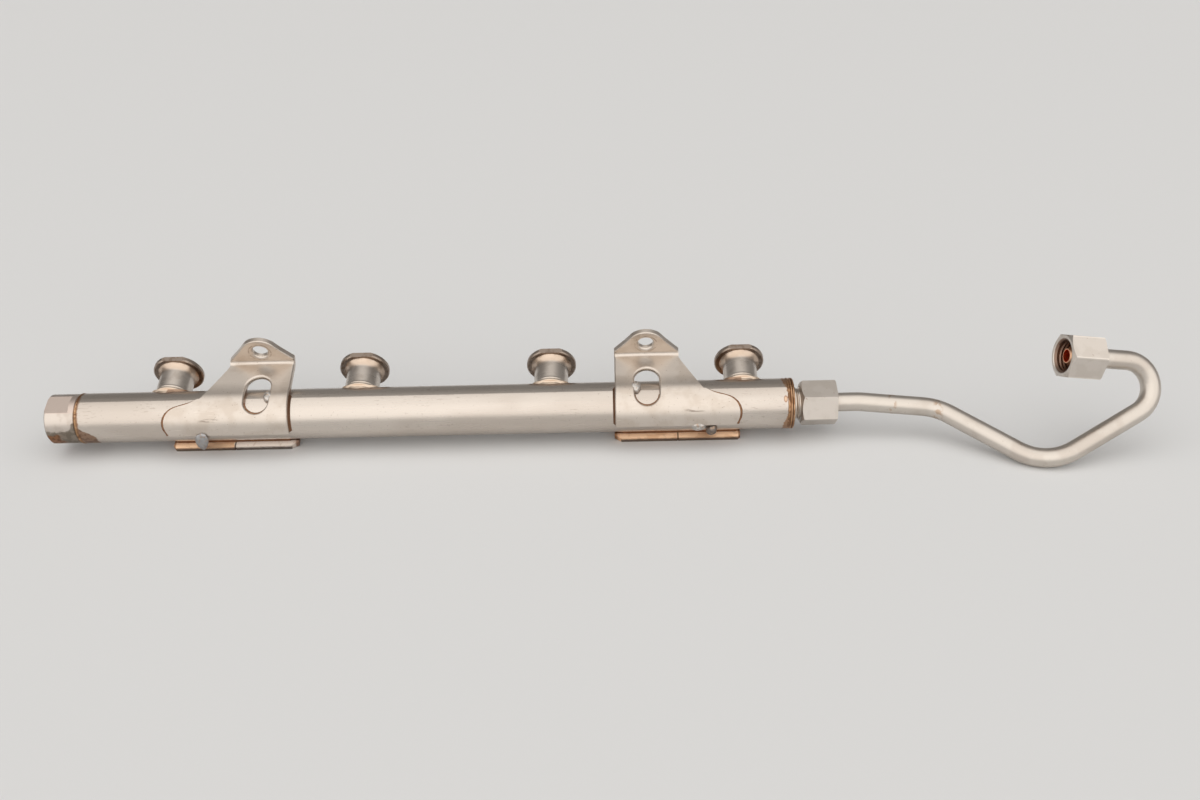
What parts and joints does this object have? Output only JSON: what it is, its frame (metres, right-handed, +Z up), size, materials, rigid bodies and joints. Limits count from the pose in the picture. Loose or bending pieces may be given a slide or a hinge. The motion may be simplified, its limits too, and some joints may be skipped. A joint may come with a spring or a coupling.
{
  "type": "fuel rail",
  "caption": "Direct-injection fuel rail: round tube with flanged injector cups, windowed bolt-on brackets, a sensor port and a bent high-pressure pipe with hexagon union nuts.",
  "frame": {"origin": "centre of the bounding box at floor level, the rail lying as it comes to rest", "axes": "+X along the tube towards the delivery pipe, +Z up, +Y to the rear, the way the injector cups point; the cups rise by 21.5 degrees"},
  "size_m": [0.4635, 0.0624, 0.0516],
  "materials": {
    "rail_steel": "satin drawn stainless",
    "cup_steel": "turned stainless, heat tinted",
    "sheet_steel": "formed stainless sheet",
    "plate_steel": "stainless sheet flashed with copper",
    "braze_copper": "copper braze, satin",
    "weld_steel": "weld bead, dull",
    "nut_steel": "zinc-nickel plated, bead blasted",
    "pipe_steel": "drawn stainless, bright",
    "fitting_steel": "turned stainless with rust stain"
  },
  "bodies": {
    "rail": {"bracket_foot_left": "plate_steel", "bracket_foot_right": "plate_steel", "bracket_shell_left": "sheet_steel", "bracket_shell_right": "sheet_steel", "cup_braze_1": "braze_copper", "cup_braze_2": "braze_copper", "cup_braze_3": "braze_copper", "cup_braze_4": "braze_copper", "delivery_pipe": "pipe_steel", "foot_braze_left": "braze_copper", "foot_braze_right": "braze_copper", "foot_tack_left": "weld_steel", "foot_tack_right": "weld_steel", "injector_cup_1": "cup_steel", "injector_cup_2": "cup_steel", "injector_cup_3": "cup_steel", "injector_cup_4": "cup_steel", "outlet_end_braze": "braze_copper", "outlet_fitting": "fitting_steel", "rail_tube": "rail_steel", "rail_union_nut": "nut_steel", "sensor_end_braze": "braze_copper", "sensor_fitting": "fitting_steel", "shell_braze_left": "braze_copper", "shell_braze_right": "braze_copper", "window_tack_left": "weld_steel", "window_tack_right": "weld_steel"},
    "loose_nut": {"pump_union_nut": "nut_steel"}
  },
  "joints": [
    {"name": "pump_nut_spin", "type": "hinge", "parent": "rail", "child": "loose_nut", "pos_m": [0.1915, -0.0097, 0.04185], "axis": [-0.9818, -0.1059, 0.1574], "continuous": true}
  ]
}
